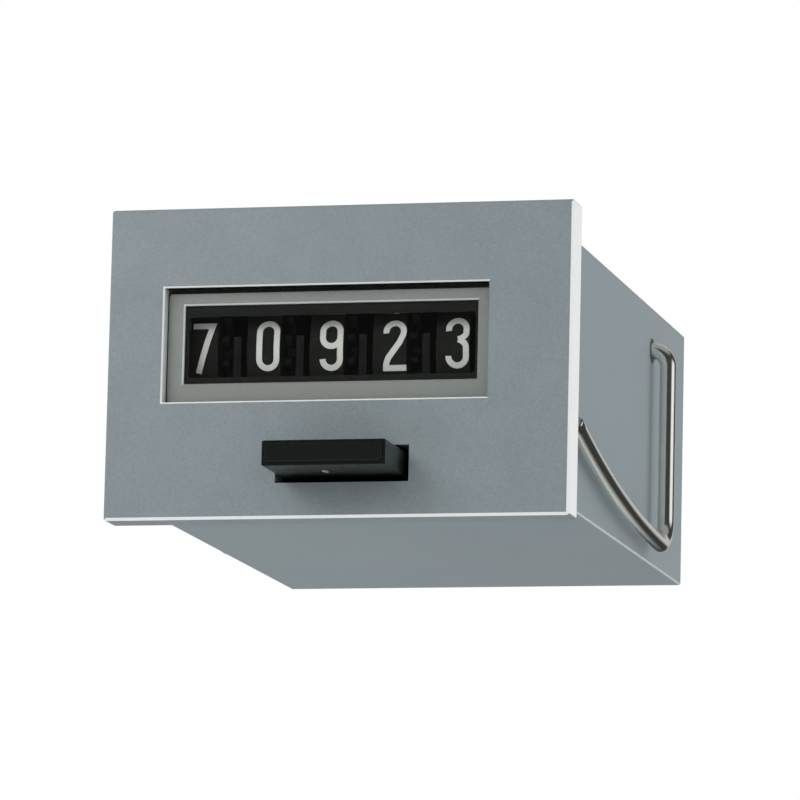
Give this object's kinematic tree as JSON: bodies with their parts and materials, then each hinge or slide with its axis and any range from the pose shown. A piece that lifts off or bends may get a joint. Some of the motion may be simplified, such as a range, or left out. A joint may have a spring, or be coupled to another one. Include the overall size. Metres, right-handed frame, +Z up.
{
  "type": "resettable counter",
  "caption": "Panel-mounted impulse counter: a slim housing behind a flat flange, figures on wheels behind a window, a reset key below and bent wires that hold it.",
  "frame": {"origin": "middle of the flange's rear face, the plane that seats on the panel", "axes": "+X to the right as the figures are read, +Z up, +Y into the panel; the front faces -Y"},
  "size_m": [0.0616, 0.0982, 0.0398],
  "materials": {
    "front_grey": "satin metallic grey lacquer with a fine grain",
    "housing_grey": "smooth satin metallic grey",
    "clear_pane": "clear polished acrylic",
    "black_plastic": "fine matt black moulding",
    "wheel_black": "satin black with light grey figures",
    "plate_steel": "zinc plated pressed steel",
    "bright_steel": "bright turned steel",
    "ivory_plastic": "natural acetal",
    "comb_grey": "dark grey acetal",
    "copper_winding": "enamelled copper wire",
    "spring_wire": "bright spring wire",
    "retaining_steel": "bright nickel plated spring wire",
    "tab_brass": "tinned brass"
  },
  "bodies": {
    "case": {"front_frame": "front_grey", "window_pane": "clear_pane", "sight_mask": "black_plastic", "housing": "housing_grey", "rear_cover": "black_plastic", "left_side_plate": "plate_steel", "right_side_plate": "plate_steel", "tie_rods": "bright_steel", "spring_bar": "plate_steel", "rear_bridge": "black_plastic", "cover_screws": "bright_steel", "wheel_shaft": "bright_steel", "carrier_shaft": "bright_steel", "coil_bobbin": "ivory_plastic", "coil_winding": "copper_winding", "magnet_core": "plate_steel", "magnet_yoke": "plate_steel", "armature_pin": "bright_steel", "reset_spring": "spring_wire", "armature_spring": "spring_wire", "terminal_tabs": "tab_brass"},
    "key": {"reset_key": "black_plastic", "reset_comb": "comb_grey", "cross_pins": "bright_steel"},
    "carrier": {"pinion_carrier": "plate_steel", "pinion_shaft": "bright_steel"},
    "ten_thousands_wheel": {"ten_thousands_wheel": "wheel_black"},
    "thousands_wheel": {"thousands_wheel": "wheel_black"},
    "hundreds_wheel": {"hundreds_wheel": "wheel_black"},
    "tens_wheel": {"tens_wheel": "wheel_black"},
    "units_wheel": {"units_wheel": "wheel_black"},
    "ten_thousands_pinion": {"ten_thousands_pinion": "ivory_plastic"},
    "thousands_pinion": {"thousands_pinion": "ivory_plastic"},
    "hundreds_pinion": {"hundreds_pinion": "ivory_plastic"},
    "tens_pinion": {"tens_pinion": "ivory_plastic"},
    "armature": {"armature": "plate_steel"},
    "left_wire": {"left_retaining_wire": "retaining_steel"},
    "right_wire": {"right_retaining_wire": "retaining_steel"}
  },
  "joints": [
    {"name": "key_press", "type": "slide", "parent": "case", "child": "key", "axis": [0, 1, 0], "range_m": [0, 0.0045], "stiffness_N_per_m": 500, "springref_m": -0.003, "deforming": ["reset_spring"]},
    {"name": "carrier_swing", "type": "hinge", "parent": "case", "child": "carrier", "pos_m": [0, 0.02818, 0.00379], "axis": [1, 0, 0], "range_deg": [0, 15.3]},
    {"name": "ten_thousands_turn", "type": "hinge", "parent": "case", "child": "ten_thousands_wheel", "pos_m": [0, 0.0127, 0.0027], "axis": [1, 0, 0], "continuous": true},
    {"name": "thousands_turn", "type": "hinge", "parent": "case", "child": "thousands_wheel", "pos_m": [0, 0.0127, 0.0027], "axis": [1, 0, 0], "continuous": true},
    {"name": "hundreds_turn", "type": "hinge", "parent": "case", "child": "hundreds_wheel", "pos_m": [0, 0.0127, 0.0027], "axis": [1, 0, 0], "continuous": true},
    {"name": "tens_turn", "type": "hinge", "parent": "case", "child": "tens_wheel", "pos_m": [0, 0.0127, 0.0027], "axis": [1, 0, 0], "continuous": true},
    {"name": "units_turn", "type": "hinge", "parent": "case", "child": "units_wheel", "pos_m": [0, 0.0127, 0.0027], "axis": [1, 0, 0], "continuous": true},
    {"name": "ten_thousands_pinion_turn", "type": "hinge", "parent": "carrier", "child": "ten_thousands_pinion", "pos_m": [0, 0.02455, -0.00334], "axis": [1, 0, 0], "continuous": true},
    {"name": "thousands_pinion_turn", "type": "hinge", "parent": "carrier", "child": "thousands_pinion", "pos_m": [0, 0.02455, -0.00334], "axis": [1, 0, 0], "continuous": true},
    {"name": "hundreds_pinion_turn", "type": "hinge", "parent": "carrier", "child": "hundreds_pinion", "pos_m": [0, 0.02455, -0.00334], "axis": [1, 0, 0], "continuous": true},
    {"name": "tens_pinion_turn", "type": "hinge", "parent": "carrier", "child": "tens_pinion", "pos_m": [0, 0.02455, -0.00334], "axis": [1, 0, 0], "continuous": true},
    {"name": "armature_pull", "type": "hinge", "parent": "case", "child": "armature", "pos_m": [0, 0.0398, 0.009], "axis": [1, 0, 0], "range_deg": [0, 3.5], "stiffness_Nm_per_rad": 0.03, "springref_deg": -11.46, "deforming": ["armature_spring"]},
    {"name": "left_wire_flex", "type": "hinge", "parent": "case", "child": "left_wire", "pos_m": [-0.0275, 0.0569, 0.0114], "axis": [1, 0, 0], "range_deg": [0, 12], "stiffness_Nm_per_rad": 0.08, "springref_deg": -5.73},
    {"name": "right_wire_flex", "type": "hinge", "parent": "case", "child": "right_wire", "pos_m": [0.0275, 0.0569, 0.0114], "axis": [1, 0, 0], "range_deg": [0, 12], "stiffness_Nm_per_rad": 0.08, "springref_deg": -5.73}
  ],
  "couplings": [
    {"joint": "carrier_swing", "follows": "key_press", "rad_per_m": 59.207},
    {"joint": "ten_thousands_pinion_turn", "follows": "ten_thousands_turn", "ratio": -2.5},
    {"joint": "thousands_pinion_turn", "follows": "thousands_turn", "ratio": -2.5},
    {"joint": "hundreds_pinion_turn", "follows": "hundreds_turn", "ratio": -2.5},
    {"joint": "tens_pinion_turn", "follows": "tens_turn", "ratio": -2.5}
  ]
}
